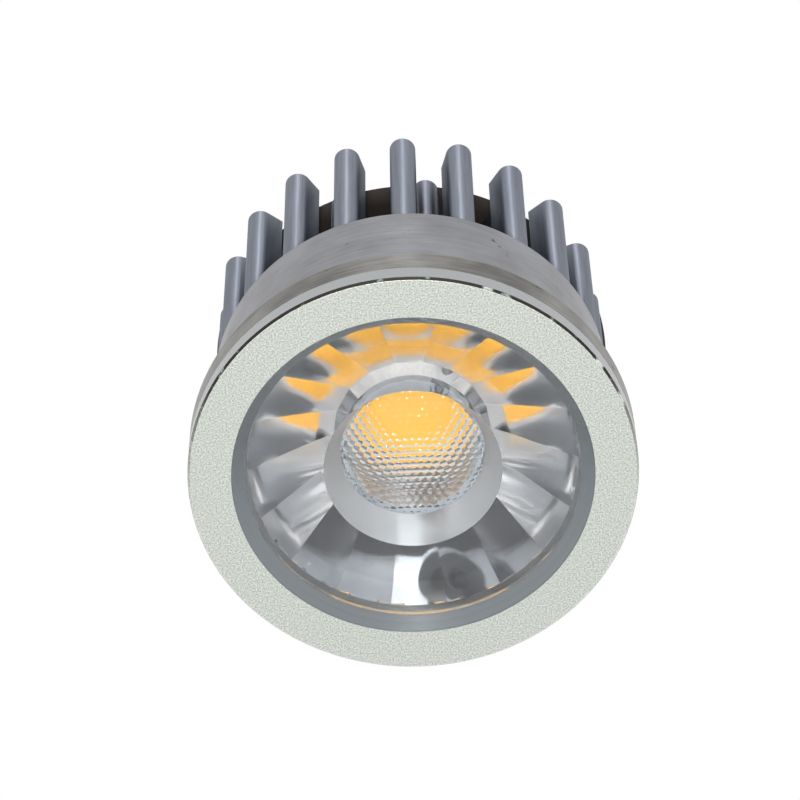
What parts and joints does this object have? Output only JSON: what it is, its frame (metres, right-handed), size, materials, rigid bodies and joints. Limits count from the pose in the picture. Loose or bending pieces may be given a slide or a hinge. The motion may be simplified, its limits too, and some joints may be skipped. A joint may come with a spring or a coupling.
{
  "type": "led module",
  "caption": "Round LED module for a recessed lamp: pin-fin aluminium heatsink with turned rim, blasted front ring and clear fluted collimator lens over a yellow light source.",
  "frame": {"origin": "Centre of the plane through the heatsink's pin tips, on the module's turning axis", "axes": "+Z is the module's axis and the direction in which the light leaves; one heatsink pin and one lens facet are centred on +Y"},
  "size_m": [0.05, 0.05, 0.04],
  "materials": {
    "forged_aluminium": "forged pins, fine-turned barrel and rim",
    "blasted_aluminium": "bead-blasted and clear anodised",
    "clear_acrylic": "polished",
    "white_plastic": "moulded",
    "carrier": "satin",
    "pad_silicone": "matte",
    "white_silicone": "satin",
    "phosphor": "satin, cast",
    "solder": "bright solder",
    "screw_steel": "zinc plated",
    "bush_rubber": "matte"
  },
  "bodies": {
    "root": {"heatsink": "forged_aluminium", "front_ring": "blasted_aluminium", "lens": "clear_acrylic", "lens_holder": "white_plastic", "led_board": "carrier", "thermal_pad": "pad_silicone", "led_dam": "white_silicone", "led_phosphor": "phosphor", "solder_joints": "solder", "holder_screws": "screw_steel", "cable_bush": "bush_rubber"}
  },
  "joints": []
}
